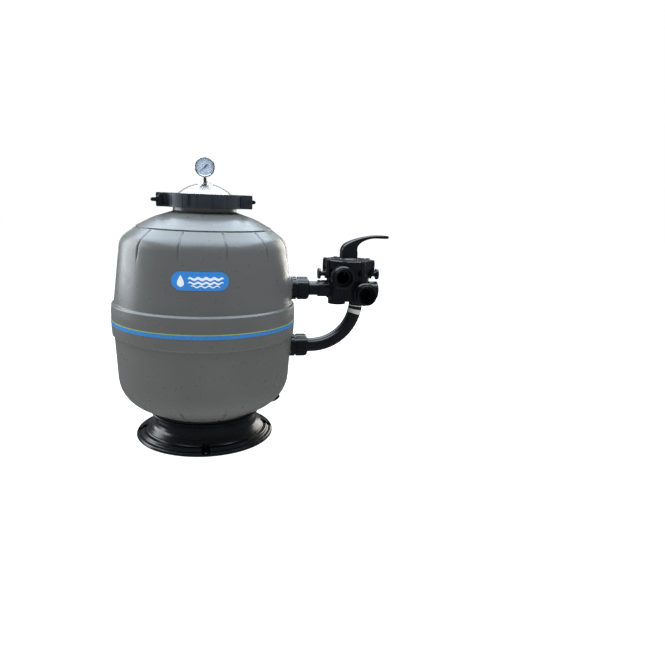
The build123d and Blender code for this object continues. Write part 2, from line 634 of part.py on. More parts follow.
def inlet_diffuser():
    """Mushroom that spreads the water over the sand."""
    top = DIFFUSER_Z
    cup = ring(PIPE_R + SLIP, PIPE_R + 5, top - 20, top)
    legs = [rod(2.2, top - 1, top + 25, (PIPE_R + 2.5) * cos(radians(a)), (PIPE_R + 2.5) * sin(radians(a)))
            for a in (0, 90, 180, 270)]
    return cup + legs + rod(70, top + 24, top + 29) - rod(7, top + 20, top + 30, RELIEF_X)


def outlet_pipe():
    """Outlet elbow: from the lateral hub up the axis and out to the lower port."""
    level = ring_x(PIPE_BORE, PIPE_R, ELBOW_R, PORT_INNER - 1, 0, LOWER_Z)
    return level + elbow(LOWER_Z, -1) + ring(PIPE_BORE, PIPE_R, HUB_Z + 12, LOWER_Z - ELBOW_R)


def lateral_hub():
    """Hub that gathers the laterals."""
    hub = rod(HUB_R, HUB_Z - 20, HUB_Z + 30) - rod(HUB_R - 6, HUB_Z - 14, HUB_Z + 22)
    hub = hub - rod(PIPE_R + SLIP, HUB_Z + 12, HUB_Z + 31) - rod(5 + SLIP, HUB_Z + 10, HUB_Z + 31, RELIEF_X)
    for i in range(LATERAL_COUNT):
        hub = hub - Pos(0, 0, HUB_Z) * Rot(0, 0, i * 360 / LATERAL_COUNT) * rod_x(LATERAL_R, HUB_R - 12, HUB_R + 1)
    return hub


def lateral(i):
    """One slotted collector arm."""
    arm = rod_x(LATERAL_R, HUB_R - 6, LATERAL_END) - rod_x(LATERAL_R - 2.5, HUB_R - 7, LATERAL_END - 3)
    for k in range(12):
        x = HUB_R + 14 + 9.5 * k
        arm = arm - ring_x(LATERAL_R - 1.2, LATERAL_R + 1, x, x + 1.2)
    return Pos(0, 0, HUB_Z) * Rot(0, 0, i * 360 / LATERAL_COUNT) * arm


def air_relief_tube():
    """Thin tube that lets trapped air leave through the hub."""
    return ring(3.5, 5, HUB_Z + 12, RELIEF_TOP, RELIEF_X)


def air_relief_strainer():
    """Strainer on the tube's top end."""
    cup = rod(9, RELIEF_TOP - 14, RELIEF_TOP + 8, RELIEF_X) - rod(5, RELIEF_TOP - 15, RELIEF_TOP, RELIEF_X)
    slots = [ring(7.5, 10, RELIEF_TOP - 12 + 4 * k, RELIEF_TOP - 10.5 + 4 * k, RELIEF_X) for k in range(4)]
    return cup - slots


# ---------------------------------------------------------------------- valve
def valve_body():
    """Body with its chamber, port sockets, blank stub and screw bosses."""
    axis_x = VALVE_X
    socket_r = PIPE_R + SOCKET_WALL
    body = rod(BODY_R, BODY_BOTTOM, BODY_TOP, axis_x)
    body = body + rod(BODY_R - 6, BODY_BOTTOM - 6, BODY_BOTTOM, axis_x)
    body = body + rod_x(socket_r, PORT_D_START, axis_x, 0, UPPER_Z) + rod_x(socket_r + 2, axis_x, PORT_C_END, 0, PORT_C_Z)
    for x, z, nut in PORTS:
        body = body + rod_y(BODY_TOP - PORT_A[1] - 1, nut, 0, x, z) + rod_y(PORT_NOSE_R, nut - PORT_NOSE, nut, x, z)
    body = body + rod(socket_r, PORT_E_BOTTOM + 6, BODY_BOTTOM + 5, PORT_E_X)
    body = body + rod(socket_r + 1, PORT_F_BOTTOM, BODY_BOTTOM + 5, BEND_X)
    for side in (-1, 1):
        boss = sorted((axis_x + side * 60, axis_x + side * (BODY_R + 8)))
        body = body + rod_x(17, boss[0], boss[1], 0, PLUG_Z)
    for x, y in screw_places():
        body = body + rod(9, BODY_TOP - 24, BODY_TOP, x, y)
    body = body + rod(BODY_R + 5, BODY_TOP - 8, BODY_TOP, axis_x)
    body = body - rod(CHAMBER_R, PLATE_TOP, BODY_TOP + 1, axis_x)
    body = body - rod_x(PIPE_BORE, PORT_D_START - 1, axis_x - 42, 0, UPPER_Z)
    body = body - rod_x(PIPE_R, PORT_D_START - 1, PORT_D_START + SOCKET_DEEP, 0, UPPER_Z)
    body = body - rod(14, UPPER_Z, PLATE_TOP + 1, axis_x - 45)
    body = body - rod_x(PIPE_BORE, axis_x + 64, PORT_C_END + 1, 0, PORT_C_Z)
    body = body - rod_x(PIPE_R + SLIP, PORT_C_END - SOCKET_DEEP, PORT_C_END + 1, 0, PORT_C_Z)
    body = body - rod_y(PIPE_BORE, PORT_FRONT, -CHAMBER_R + 25, PORT_A[0], PORT_A[1])
    body = body - rod_y(PIPE_BORE, PORT_FRONT, -30, PORT_B[0], PORT_B[1])
    body = body - rod(13, PORT_B[1], PLATE_TOP + 1, axis_x + 33, -42)
    body = body - rod(PIPE_BORE, PORT_E_BOTTOM, UPPER_Z, PORT_E_X)
    body = body - rod(PIPE_R, PORT_F_BOTTOM - 1, PORT_F_BOTTOM + SOCKET_DEEP, BEND_X)
    body = body - rod(PIPE_BORE - 2, PORT_F_BOTTOM, PLATE_TOP + 1, BEND_X)
    for side in (-1, 1):
        hole = sorted((axis_x + side * 70, axis_x + side * (BODY_R + 9)))
        body = body - rod_x(8, hole[0], hole[1], 0, PLUG_Z)
    for x, y in screw_places():
        body = body - rod(SCREW_R, BODY_TOP - 20, BODY_TOP + 1, x, y)
    for x, z, nut in PORTS:
        body = body - ring_y(PIPE_BORE + 2, PIPE_BORE + 5, nut - PORT_NOSE - 1, nut - PORT_NOSE + 2, x, z)
    groove = ring(BODY_R - 9, BODY_R - 5, BODY_TOP - 3, BODY_TOP + 1, axis_x)
    return body - groove


def screw_places():
    """Places of the lid's screws, at the corners of its octagon."""
    turns = [radians(22.5 + 45 * i) for i in range(SCREW_COUNT)]
    return [(VALVE_X + SCREW_RING_R * cos(a), SCREW_RING_R * sin(a)) for a in turns]


def valve_lid():
    """Octagonal lid with a boss at each screw and a bore for the stem."""
    corner = LID_FLAT / cos(pi / 8)
    lid = extrude(Pos(VALVE_X, 0, BODY_TOP) * Rot(0, 0, 22.5) * RegularPolygon(corner - 4, 8), LID_TOP - BODY_TOP)
    lid = chamfer(lid.faces().sort_by(Axis.Z)[-1].edges(), 2)
    for x, y in screw_places():
        lid = lid + rod(9, BODY_TOP, LID_TOP - 4, x, y)
    lid = lid - ring(52, 56, LID_TOP - 1.5, LID_TOP + 1, VALVE_X) - ring(66, 69, LID_TOP - 1.5, LID_TOP + 1, VALVE_X)
    for x, y in screw_places():
        lid = lid - rod(SCREW_R, BODY_TOP - 1, LID_TOP + 1, x, y)
        lid = lid - rod(SCREW_R + 4, LID_TOP - 4, LID_TOP + 1, x, y)
    lid = lid - rod(38, BODY_TOP - 1, BODY_TOP + 15, VALVE_X)
    return lid - rod(STEM_SHAFT_R + RUN, BODY_TOP - 1, LID_TOP + 1, VALVE_X)


def valve_lid_screw(x, y):
    """Pan-head screw."""
    head = rod(SCREW_R + 3, LID_TOP - 4, LID_TOP + 1.5, x, y)
    cross = block(x - 3.5, x + 3.5, y - 0.6, y + 0.6, LID_TOP - 0.5, LID_TOP + 2)
    return head + rod(SCREW_R, BODY_TOP - 18, LID_TOP - 4, x, y) - cross


def valve_lid_o_ring():
    """Ring between the lid and the body."""
    return ring(BODY_R - 9, BODY_R - 5, BODY_TOP - 3, BODY_TOP, VALVE_X)


def spider_gasket():
    """Wheel-shaped rubber gasket on the port plate."""
    wheel = ring(ROTOR_R - 6, ROTOR_R, PLATE_TOP, PLATE_TOP + GASKET_RUBBER, VALVE_X)
    hub = ring(7, 12, PLATE_TOP, PLATE_TOP + GASKET_RUBBER, VALVE_X)
    spokes = [Pos(VALVE_X, 0, 0) * Rot(0, 0, 60 * i + 30) * block(
        10, ROTOR_R - 4, -2.5, 2.5, PLATE_TOP, PLATE_TOP + GASKET_RUBBER) for i in range(6)]
    return wheel + hub + spokes


def rotor():
    """Rotor that joins one pair of ports at a time, with its stem."""
    disc = rod(ROTOR_R, ROTOR_BOTTOM, ROTOR_TOP, VALVE_X)
    pocket = Pos(VALVE_X, 0, 0) * block(14, ROTOR_R - 8, -22, 22, ROTOR_BOTTOM - 1, ROTOR_BOTTOM + 10)
    window = Pos(VALVE_X, 0, 0) * block(-ROTOR_R + 10, -22, -14, 14, ROTOR_BOTTOM - 1, ROTOR_TOP + 1)
    stem = rod(STEM_SHAFT_R, ROTOR_TOP - 1, PIN_Z + 10, VALVE_X)
    return disc - pocket - window + stem - rod_y(PIN_R, -40, 40, VALVE_X, PIN_Z)


def rotor_spring():
    """Coil spring that presses the rotor on its gasket."""
    low, high = ROTOR_TOP + 3, BODY_TOP + 12
    helix = Helix(pitch=(high - low) / 4, height=high - low, radius=25)
    wire = sweep(Plane(origin=helix @ 0, z_dir=helix % 0) * Circle(2.5), path=helix)
    return Pos(VALVE_X, 0, low) * wire


def stem_washer():
    """Washer that the handle's cam bears on."""
    return ring(STEM_SHAFT_R + RUN, WASHER_R, LID_TOP + GAP, LID_TOP + GAP + TURN_WASHER, VALVE_X)


def handle_pin():
    """Pin that joins the handle to the stem."""
    return rod_y(PIN_R, -HUB_WIDTH / 2 + 1, HUB_WIDTH / 2 - 1, VALVE_X, PIN_Z)


def handle():
    """Lever handle with a cam heel under its hub."""
    x0 = VALVE_X
    heel = (x0 + CAM_OFFSET * cos(radians(CAM_ANGLE)), HUB_BOTTOM + CAM_R)
    left = x0 - 32
    tip = x0 + 146
    under = [Line((left, HUB_BOTTOM), (heel[0], HUB_BOTTOM)),
             ThreePointArc((heel[0], HUB_BOTTOM), (heel[0] + CAM_R * sin(pi / 4), heel[1] - CAM_R * cos(pi / 4)),
                           (heel[0] + CAM_R, heel[1])),
             Line((heel[0] + CAM_R, heel[1]), (x0 + 27, 676)),
             ThreePointArc((x0 + 27, 676), (x0 + 46, 699), (x0 + 98, 713)),
             Line((x0 + 98, 713), (tip, 713)),
             ThreePointArc((tip, 713), (tip + 6, 719), (tip, 725)),
             Line((tip, 725), (x0 + 90, 724)),
             ThreePointArc((x0 + 90, 724), (x0 + 13, 703), (left, 669)),
             Line((left, 669), (left, HUB_BOTTOM))]
    side = Plane.XZ * make_face([e for u in under for e in u.edges()])
    body = extrude(side, HUB_WIDTH / 2, both=True)
    plan = Pos(x0, 0) * Circle(33) + Pos(x0 + 80, 0) * Rectangle(160, ARM_WIDTH) + Pos(x0 + 14, 0) * Rectangle(30, 40)
    body = body & (Pos(0, 0, HUB_BOTTOM - 1) * extrude(plan, 100))
    slot = block(x0 - SLOT_HALF, x0 + SLOT_HALF, -STEM_SHAFT_R - GAP, STEM_SHAFT_R + GAP, HUB_BOTTOM - 1, PIN_Z + 17)
    return body - slot - rod_y(PIN_R + RUN, -60, 60, x0, PIN_Z)


def port_nut(x, z, back):
    """Hand nut of a front port; its lip grips the tail's collar."""
    lip = PORT_NUT_LENGTH - PORT_NOSE - COLLAR_THICK - GAP
    nut = ribbed_nut(PORT_NUT_R, PORT_NOSE_R + RUN, PORT_PIPE_R + PORT_WALL + GAP, PORT_NUT_LENGTH, lip, 16)
    return Pos(x, back, z) * Rot(90, 0, 0) * nut


def port_tail(x, z, back):
    """Tail of a front port: a collar, and a socket for the installer's pipe."""
    seat = back - PORT_NOSE
    tail = rod_y(PORT_PIPE_R + PORT_WALL, PORT_FRONT, seat, x, z)
    tail = tail + rod_y(PORT_NOSE_R - 0.5, seat - COLLAR_THICK, seat, x, z)
    tail = tail - rod_y(PORT_PIPE_R + SLIP, PORT_FRONT - 1, seat - 2, x, z)
    return tail - rod_y(PIPE_BORE, PORT_FRONT - 1, seat + 1, x, z)


def port_o_ring(x, z, back):
    """O-ring in the face of a front port's nose."""
    seat = back - PORT_NOSE
    return ring_y(PIPE_BORE + 2, PIPE_BORE + 5, seat, seat + 2, x, z)


def port_e_cap():
    """Cap that blanks the unused bottom port."""
    r = PIPE_R + SOCKET_WALL
    return rod(r + 2, PORT_E_BOTTOM - 2, BODY_BOTTOM - 7, PORT_E_X) - rod(r, PORT_E_BOTTOM + 6, BODY_BOTTOM, PORT_E_X)


def side_plug(side):
    """Threaded plug in the side of the body, with a thin neck and a round flange."""
    inner = VALVE_X + side * (BODY_R - 6)
    boss = VALVE_X + side * (BODY_R + 8)
    end = VALVE_X + side * PLUG_END
    shank = rod_x(8, *sorted((inner, boss)), 0, PLUG_Z)
    neck = rod_x(9, *sorted((boss, end - side * 6)), 0, PLUG_Z)
    return shank + neck + rod_x(19.5, *sorted((end - side * 8, end)), 0, PLUG_Z)


# ------------------------------------------------------------------ all nodes
def build():
    """Make and write every node."""
    whole_clamp = clamp_ring()
    heights = (UPPER_Z, LOWER_Z)
    nodes = {
        "base_pedestal": base_pedestal(),
        "tank_shell": tank_shell(),
        "band_stripe": stripe(STRIPE_BOTTOM, STRIPE_TOP),
        "band_pinstripe": stripe(STRIPE_TOP, STRIPE_TOP + PIN_STRIPE),
        "front_label": front_label(),
        "lid_dome": lid_dome(),
        "lid_o_ring": lid_o_ring(),
        "bleed_seal": bleed_seal(),
        "bleed_screw": bleed_screw(),
        "gauge_stem": gauge_stem(),
        "gauge_case": gauge_case(),
        "gauge_bezel": gauge_bezel(),
        "gauge_dial": gauge_dial(),
        "gauge_lens": gauge_lens(),
        "gauge_needle": gauge_needle(),
        "clamp_front_half": clamp_half(whole_clamp, True),
        "clamp_back_half": clamp_half(whole_clamp, False),
        "clamp_bolt_left": clamp_bolt(True),
        "clamp_bolt_right": clamp_bolt(False),
        "clamp_washer_left": clamp_washer(True),
        "clamp_washer_right": clamp_washer(False),
        "clamp_knob_left": clamp_knob(True),
        "clamp_knob_right": clamp_knob(False),
        "upper_bulkhead": bulkhead(UPPER_Z),
        "lower_bulkhead": bulkhead(LOWER_Z),
        "bulkhead_gaskets": [bulkhead_gasket(z) for z in heights],
        "bulkhead_lock_nuts": [bulkhead_lock_nut(z) for z in heights],
        "upper_union_nut": union_nut(UPPER_Z),
        "lower_union_nut": union_nut(LOWER_Z),
        "union_tails": [union_tail(z) for z in heights],
        "union_o_rings": [union_o_ring(z) for z in heights] + [port_o_ring(*p) for p in PORTS],
        "connecting_pipe": connecting_pipe(),
        "bent_pipe": bent_pipe(),
        "pipe_sticker": [film_band(*STICKER), film_band(*GLUE_LINE)],
        "drain_spigot": drain_spigot(),
        "drain_lock_nut": drain_lock_nut(),
        "drain_seal": drain_seal(),
        "drain_cap": drain_cap(),
        "inlet_pipe": inlet_pipe(),
        "inlet_diffuser": inlet_diffuser(),
        "outlet_pipe": outlet_pipe(),
        "lateral_hub": lateral_hub(),
        "laterals": [lateral(i) for i in range(LATERAL_COUNT)],
        "air_relief_tube": air_relief_tube(),
        "air_relief_strainer": air_relief_strainer(),
        "valve_body": valve_body(),
        "valve_lid": valve_lid(),
        "valve_lid_screws": [valve_lid_screw(x, y) for x, y in screw_places()],
        "valve_lid_o_ring": valve_lid_o_ring(),
        "spider_gasket": spider_gasket(),
        "rotor": rotor(),
        "rotor_spring": rotor_spring(),
        "stem_washer": stem_washer(),
        "handle": handle(),
        "handle_pin": handle_pin(),
        "port_a_nut": port_nut(*PORTS[0]),
        "port_b_nut": port_nut(*PORTS[1]),
        "port_tails": [port_tail(*p) for p in PORTS],
        "port_e_cap": port_e_cap(),
        "valve_side_plugs": [side_plug(-1), side_plug(1)],
    }
    for name, shape in nodes.items():
        save(shape, name)
    place, out = drain_place()
    print("nodes", len(nodes), "drain at", tuple(place), "axis", tuple(out), "pin", PIN_Z)


build()
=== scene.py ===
# %% [markdown]
# # A side-mount sand filter tank
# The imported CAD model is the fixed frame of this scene: its nodes give the places, sizes and joints. New
# surfaces are worked out with numpy and laid over that frame, and every node gets a finish of its own.

# %% Load the frame
import json
import math

import bmesh
import bpy
import numpy as np
from mathutils import Matrix, Vector


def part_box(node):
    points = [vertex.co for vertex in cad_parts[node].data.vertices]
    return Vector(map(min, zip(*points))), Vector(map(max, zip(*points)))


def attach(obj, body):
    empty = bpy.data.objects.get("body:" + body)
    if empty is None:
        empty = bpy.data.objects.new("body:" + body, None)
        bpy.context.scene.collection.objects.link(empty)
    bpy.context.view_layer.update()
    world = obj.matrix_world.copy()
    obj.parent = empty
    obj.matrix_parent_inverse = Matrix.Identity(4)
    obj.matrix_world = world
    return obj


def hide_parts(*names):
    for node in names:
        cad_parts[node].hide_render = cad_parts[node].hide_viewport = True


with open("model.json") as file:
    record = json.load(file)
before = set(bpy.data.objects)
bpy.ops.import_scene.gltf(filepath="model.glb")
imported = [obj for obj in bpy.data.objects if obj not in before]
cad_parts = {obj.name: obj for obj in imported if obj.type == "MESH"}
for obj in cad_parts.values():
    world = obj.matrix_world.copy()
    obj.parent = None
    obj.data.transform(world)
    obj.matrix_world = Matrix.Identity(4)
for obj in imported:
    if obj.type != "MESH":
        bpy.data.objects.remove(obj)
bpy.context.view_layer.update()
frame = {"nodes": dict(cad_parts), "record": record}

MM = 0.001
nodes = frame["nodes"]

# %% [markdown]
# ## Camera
# A camera is a place, three directions and a lens. The picture's right and up directions are turned a
# little about the line of sight, as a hand-held camera is, and the object stands left of the middle.

# %% Place the camera
EYE = Vector((0.0, -2.130, 0.858))
YAW, PITCH, ROLL = math.radians(12.2), math.radians(12.04), math.radians(2.35)
LENS_FACTOR = 601.6 / 665

sight = Vector((math.sin(YAW) * math.cos(PITCH), math.cos(YAW) * math.cos(PITCH), -math.sin(PITCH)))
level_right = Vector((math.cos(YAW), -math.sin(YAW), 0.0))
level_up = level_right.cross(sight)
right = level_right * math.cos(ROLL) + level_up * math.sin(ROLL)
up = level_up * math.cos(ROLL) - level_right * math.sin(ROLL)
camera_data = bpy.data.cameras.new("camera")
camera_data.sensor_width = 36.0
camera_data.lens = camera_data.sensor_width * LENS_FACTOR
camera = bpy.data.objects.new("camera", camera_data)
turn = Matrix((right, up, -sight)).transposed().to_4x4()
camera.matrix_world = Matrix.Translation(EYE) @ turn
bpy.context.scene.collection.objects.link(camera)
bpy.context.scene.camera = camera
print("lens", round(camera_data.lens, 2), "mm")

# %% [markdown]
# ## Light
# Smooth moulded plastic shows the shape of its lights. One broad lamp overhead makes the pale band on the
# shoulder, two softer ones from behind edge the walls, and a dim pale surround fills the rest. A camera
# ray, or one that has passed through clear plastic, sees that surround as plain white.

# %% Light the set
def area_light(name, place, target, size, power, colour=(1, 1, 1)):
    """A square lamp at a place, turned to face its target."""
    data = bpy.data.lights.new(name, "AREA")
    data.size = size
    data.energy = power
    data.color = colour
    lamp = bpy.data.objects.new(name, data)
    aim = (Vector(target) - Vector(place)).to_track_quat("-Z", "Y")
    lamp.matrix_world = Matrix.Translation(Vector(place)) @ aim.to_matrix().to_4x4()
    bpy.context.scene.collection.objects.link(lamp)


area_light("overhead", (0.0, 0.5, 3.0), (0.05, 0.0, 0.5), 4.6, 360, (0.76, 0.88, 1.0))
area_light("left_side", (-2.8, 1.2, 1.4), (0.0, 0.0, 0.5), 2.2, 75, (0.90, 0.96, 1.0))
area_light("right_side", (2.3, 2.6, 1.0), (0.1, 0.0, 0.4), 1.8, 42, (1.0, 0.95, 0.88))

world = bpy.data.worlds.new("surround")
bpy.context.scene.world = world
world.use_nodes = True
tree = world.node_tree
background = tree.nodes["Background"]
ray = tree.nodes.new("ShaderNodeLightPath")
plain = tree.nodes.new("ShaderNodeMath")
plain.operation = "MAXIMUM"
tree.links.new(ray.outputs["Is Camera Ray"], plain.inputs[0])
tree.links.new(ray.outputs["Is Transmission Ray"], plain.inputs[1])
seen = tree.nodes.new("ShaderNodeMix")
seen.data_type = "RGBA"
seen.inputs["A"].default_value = (0.12, 0.125, 0.13, 1)
seen.inputs["B"].default_value = (1, 1, 1, 1)
tree.links.new(plain.outputs["Value"], seen.inputs["Factor"])
tree.links.new(seen.outputs["Result"], background.inputs["Color"])
bpy.context.scene.view_settings.view_transform = "Standard"

# %% [markdown]
# ## Grids
# Most new pieces are a function of two parameters. The helper takes the worked-out grid of points and joins
# neighbours with four-sided faces; a grid can close on itself in either direction.

# %% Turn a grid of points into a mesh
def grid_mesh(name, points, close_rows=False, close_columns=True):
    """Points (rows, columns, 3). Face (i, j) joins rows i, i+1 and columns j, j+1; closing wraps to 0."""
    rows, columns = points.shape[:2]
    i = np.arange(rows if close_rows else rows - 1)[:, None]
    j = np.arange(columns if close_columns else columns - 1)[None, :]
    ni, nj = (i + 1) % rows, (j + 1) % columns
    ring = np.broadcast_arrays(i * columns + j, i * columns + nj, ni * columns + nj, ni * columns + j)
    faces = np.stack(ring, -1).reshape(-1, 4)
    mesh = bpy.data.meshes.new(name)
    mesh.vertices.add(rows * columns)
    mesh.vertices.foreach_set("co", points.reshape(-1).astype(np.float32))
    mesh.loops.add(faces.size)
    mesh.loops.foreach_set("vertex_index", faces.reshape(-1).astype(np.int32))
    mesh.polygons.add(len(faces))
    mesh.polygons.foreach_set("loop_start", np.arange(0, faces.size, 4, dtype=np.int32))
    mesh.update(calc_edges=True)
    return mesh


def tidy_mesh(mesh):
    """Merge doubled points, such as the many points of a pole, and turn every face outwards."""
    work = bmesh.new()
    work.from_mesh(mesh)
    bmesh.ops.remove_doubles(work, verts=work.verts, dist=1e-6)
    bmesh.ops.dissolve_degenerate(work, edges=work.edges, dist=1e-7)
    bmesh.ops.recalc_face_normals(work, faces=work.faces)
    work.to_mesh(mesh)
    work.free()
    mesh.update()


def piece(name, mesh, body, material, replaced=(), sharp_deg=35):
    """Put a mesh in the scene, smooth but for its sharp edges, riding on a body."""
    tidy_mesh(mesh)
    item = bpy.data.objects.new(name, mesh)
    bpy.context.scene.collection.objects.link(item)
    mesh.materials.append(material)
    mesh.polygons.foreach_set("use_smooth", np.ones(len(mesh.polygons), dtype=bool))
    mesh.set_sharp_from_angle(angle=math.radians(sharp_deg))
    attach(item, body)
    if replaced:
        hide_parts(*replaced)
    return item


# %% [markdown]
# A turned piece needs an outline whose corners are rounded. Each corner gives way to an arc that touches
# both of its runs, and long runs are divided so that the surface can carry detail.

# %% Round the corners of an outline
def rounded(corners, step=4.0, arc_deg=12.0):
    """Corners (a, b, radius) in mm. Each corner's arc starts radius x tan(half its turn) before it."""
    marks = np.array([c[:2] for c in corners], float)
    radii = [c[2] if len(c) > 2 else 0.0 for c in corners]
    path = [marks[0]]
    for k in range(1, len(marks) - 1):
        before, after = marks[k] - marks[k - 1], marks[k + 1] - marks[k]
        before, after = before / np.hypot(*before), after / np.hypot(*after)
        cross = before[0] * after[1] - before[1] * after[0]
        angle = math.atan2(cross, float(before @ after))
        if radii[k] <= 0 or abs(angle) < 1e-4:
            path.append(marks[k])
            continue
        start = marks[k] - before * radii[k] * math.tan(abs(angle) / 2)
        side = np.array([-before[1], before[0]]) * math.copysign(1, angle)
        centre = start + side * radii[k]
        n = max(2, int(math.degrees(abs(angle)) / arc_deg) + 2)
        t = np.linspace(0, angle, n)
        spoke = start - centre
        path.extend(np.stack([centre[0] + spoke[0] * np.cos(t) - spoke[1] * np.sin(t),
                              centre[1] + spoke[0] * np.sin(t) + spoke[1] * np.cos(t)], -1))
    path.append(marks[-1])
    path = np.array(path)
    gaps = np.maximum(1, np.ceil(np.hypot(*np.diff(path, axis=0).T) / step)).astype(int)
    parts = [np.linspace(p, q, n, endpoint=False) for p, q, n in zip(path[:-1], path[1:], gaps)]
    return np.vstack([*parts, path[-1:]])


def spun(outline, angles):
    """Surface of revolution: (r sin a, -r cos a, z), with r and z in mm and a from the front."""
    r, z = outline[:, 0][:, None] * MM, outline[:, 1][:, None] * MM
    return np.stack([r * np.sin(angles), -r * np.cos(angles), z + 0 * angles], -1)


# %% [markdown]
# ## Finishes
# Every finish is a Principled shader whose colour, roughness and bump vary by noise on Object coordinates,
# in metres, so the grain keeps its real size. Numbers that are the same all over sit on the shader's own
# sockets.

# %% Make a moulded or painted finish
def set_socket(shader, name, value):
    """Set one socket of a Principled shader."""
    shader.inputs[name].default_value = value


def new_finish(name):
    """An empty node material and its shader, tree and Object coordinates."""
    material = bpy.data.materials.new(name)
    material.use_nodes = True
    tree = material.node_tree
    shader = tree.nodes["Principled BSDF"]
    place = tree.nodes.new("ShaderNodeTexCoord").outputs["Object"]
    return material, tree, shader, place


def noise(tree, place, scale, detail=3.0):
    """Noise of so many lumps a metre."""
    node = tree.nodes.new("ShaderNodeTexNoise")
    node.inputs["Scale"].default_value = scale
    node.inputs["Detail"].default_value = detail
    tree.links.new(place, node.inputs["Vector"])
    return node.outputs["Fac"]


def ramp(tree, source, low, high, start=0.3, end=0.7):
    """Map a 0 to 1 value on two colours or two numbers (as greys)."""
    node = tree.nodes.new("ShaderNodeValToRGB")
    grey = isinstance(low, float)
    node.color_ramp.elements[0].position = start
    node.color_ramp.elements[1].position = end
    node.color_ramp.elements[0].color = (low, low, low, 1) if grey else (*low, 1)
    node.color_ramp.elements[1].color = (high, high, high, 1) if grey else (*high, 1)
    tree.links.new(source, node.inputs["Fac"])
    return node.outputs["Color"]


def bump(tree, shader, height, distance):
    """Bump from a height, with its real depth in metres."""
    node = tree.nodes.new("ShaderNodeBump")
    node.inputs["Strength"].default_value = 1.0
    node.inputs["Distance"].default_value = distance
    tree.links.new(height, node.inputs["Height"])
    tree.links.new(node.outputs["Normal"], shader.inputs["Normal"])


def moulded(name, dark, pale, rough, patch, grain, depth, metal=0.0):
    """Broad colour patches, roughness patches nine times finer, and a fine grain in the bump."""
    material, tree, shader, place = new_finish(name)
    tree.links.new(ramp(tree, noise(tree, place, patch, 4.0), dark, pale), shader.inputs["Base Color"])
    finer = noise(tree, place, patch * 9, 5.0)
    tree.links.new(ramp(tree, finer, rough[0], rough[1]), shader.inputs["Roughness"])
    bump(tree, shader, noise(tree, place, grain, 2.0), depth)
    set_socket(shader, "Metallic", metal)
    return material


# %% Choose this object's finishes
finish = {
    "tank_plastic": moulded("tank_plastic", (0.108, 0.107, 0.100), (0.123, 0.122, 0.114),
                            (0.26, 0.36), 5, 110, 0.00001),
    "stripe_film": moulded("stripe_film", (0.028, 0.175, 0.46), (0.034, 0.20, 0.50),
                           (0.22, 0.32), 9, 400, 0.00001),
    "line_film": moulded("line_film", (0.28, 0.38, 0.04), (0.34, 0.44, 0.06),
                         (0.25, 0.35), 9, 400, 0.00001),
    "label_film": moulded("label_film", (0.038, 0.22, 0.60), (0.044, 0.25, 0.64),
                          (0.22, 0.30), 9, 400, 0.00001),
    "black_plastic": moulded("black_plastic", (0.003, 0.0035, 0.005), (0.006, 0.007, 0.009),
                             (0.18, 0.27), 14, 500, 0.00001),
    "slate_plastic": moulded("slate_plastic", (0.016, 0.021, 0.028), (0.030, 0.038, 0.047),
                             (0.42, 0.55), 20, 1400, 0.00008),
    "dark_steel": moulded("dark_steel", (0.10, 0.10, 0.11), (0.16, 0.16, 0.17),
                          (0.34, 0.48), 40, 900, 0.00001, metal=1.0),
    "plated": moulded("plated", (0.20, 0.20, 0.20), (0.32, 0.32, 0.33),
                      (0.22, 0.34), 60, 900, 0.00001, metal=1.0),
    "brass": moulded("brass", (0.30, 0.21, 0.09), (0.42, 0.31, 0.15),
                     (0.22, 0.34), 60, 900, 0.00002, metal=1.0),
    "steel": moulded("steel", (0.72, 0.73, 0.75), (0.84, 0.85, 0.87),
                     (0.16, 0.28), 40, 150, 0.000004, metal=1.0),
    "rubber": moulded("rubber", (0.012, 0.012, 0.012), (0.020, 0.020, 0.020),
                      (0.6, 0.75), 30, 1500, 0.00005),
    "dial": moulded("dial", (0.52, 0.62, 0.74), (0.56, 0.66, 0.78),
                    (0.4, 0.5), 30, 120, 0.000004),
    "needle": moulded("needle", (0.008, 0.008, 0.010), (0.012, 0.012, 0.014),
                      (0.4, 0.5), 60, 800, 0.00001),
    "inner_plastic": moulded("inner_plastic", (0.50, 0.51, 0.50), (0.58, 0.59, 0.58),
                             (0.4, 0.55), 10, 900, 0.00003),
    "sticker": moulded("sticker", (0.50, 0.50, 0.47), (0.62, 0.62, 0.58),
                       (0.45, 0.6), 60, 900, 0.00003),
    "print_white": moulded("print_white", (0.80, 0.85, 0.90), (0.88, 0.92, 0.95),
                           (0.3, 0.4), 30, 800, 0.00001),
}
HAZE = 30.0


def clear(name, tint, rough, index):
    """Clear plastic or glass, with faint haze in its roughness."""
    material, tree, shader, place = new_finish(name)
    set_socket(shader, "Base Color", (*tint, 1))
    set_socket(shader, "Transmission Weight", 1.0)
    set_socket(shader, "IOR", index)
    haze = noise(tree, place, HAZE)
    tree.links.new(ramp(tree, haze, rough[0], rough[1]), shader.inputs["Roughness"])
    return material


finish["clear_plastic"] = clear("clear_plastic", (0.91, 0.955, 1.0), (0.04, 0.09), 1.46)
finish["lens"] = clear("lens", (0.96, 0.98, 1.0), (0.01, 0.03), 1.2)
print(len(finish), "finishes")

# %% Give every CAD node its finish
OWN_FINISH = {
    "clamp_bolt_left": "dark_steel", "clamp_bolt_right": "dark_steel", "valve_lid_screws": "dark_steel",
    "rotor_spring": "dark_steel", "bleed_screw": "clear_plastic", "gauge_stem": "plated"}

for part in frame["record"]["subparts"]:
    item = nodes[part["node"]]
    material = finish[OWN_FINISH.get(part["node"], part["material_slot"])]
    if not item.material_slots:
        item.data.materials.append(material)
    for place_holder in item.material_slots:
        place_holder.material = material

